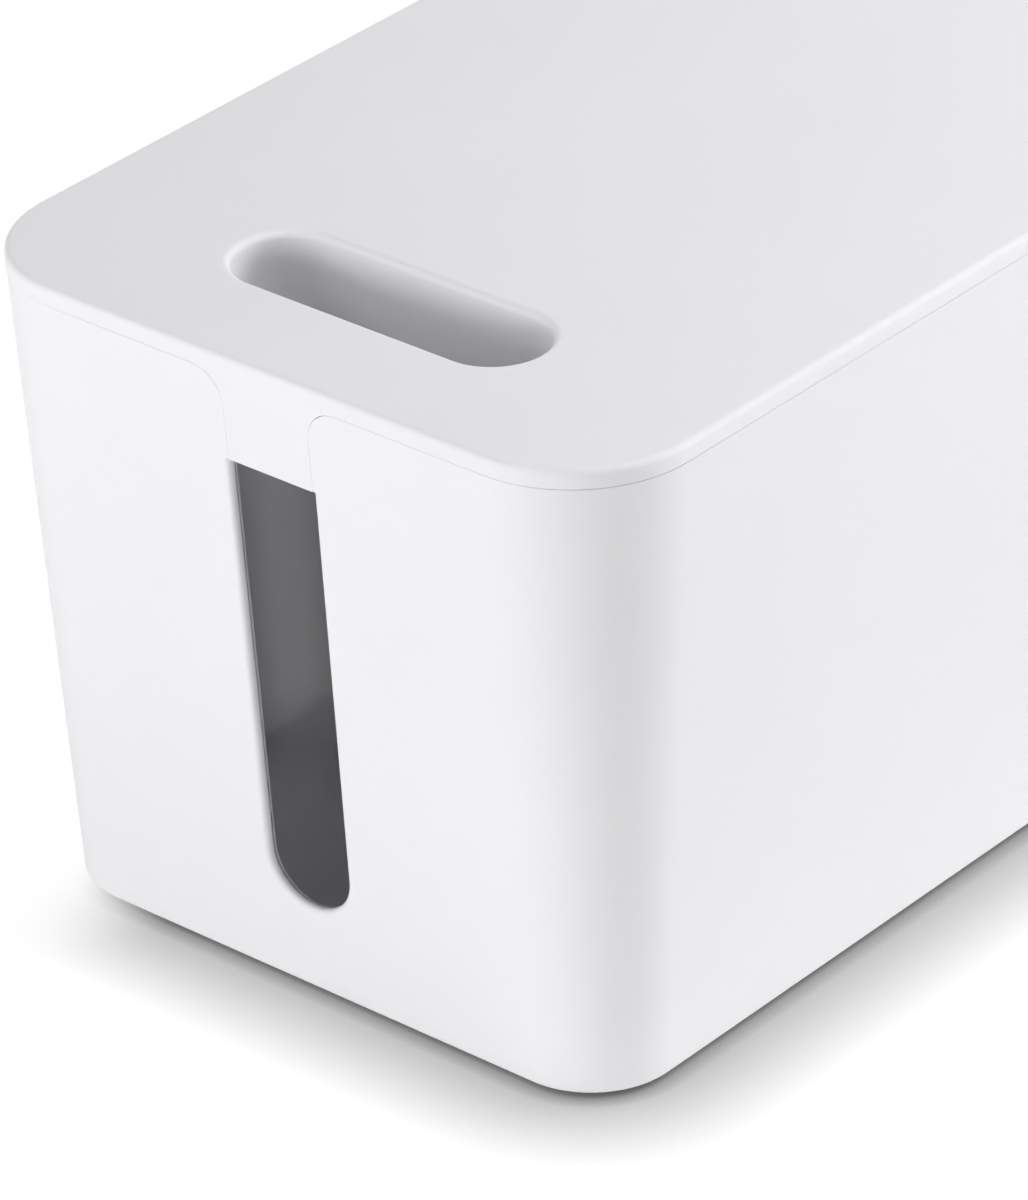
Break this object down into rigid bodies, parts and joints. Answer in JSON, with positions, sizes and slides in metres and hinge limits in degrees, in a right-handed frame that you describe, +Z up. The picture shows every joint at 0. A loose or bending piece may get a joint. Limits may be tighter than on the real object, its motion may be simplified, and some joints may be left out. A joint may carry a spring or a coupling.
{
  "type": "cable management box",
  "caption": "Long white moulded box with rounded corners and leaning walls, a cable slot in each end, and a lift-off lid with grip openings and slot-closing tongues.",
  "frame": {"origin": "on the surface the box stands on, under the middle of the box", "axes": "+X along the box, +Y across it towards its rear long side, +Z up. The left end is at -X and the front long side at -Y"},
  "size_m": [0.4, 0.155, 0.136],
  "materials": {
    "white_plastic": "injection-moulded, smooth satin",
    "foot_rubber": "matt elastomer"
  },
  "bodies": {
    "base": {"tub": "white_plastic", "foot_front_left": "foot_rubber", "foot_front_right": "foot_rubber", "foot_rear_left": "foot_rubber", "foot_rear_right": "foot_rubber"},
    "lid": {"lid": "white_plastic"}
  },
  "joints": [
    {"name": "lid_lift", "type": "slide", "parent": "base", "child": "lid", "axis": [0, 0, 1], "range_m": [0, 0.15]}
  ]
}
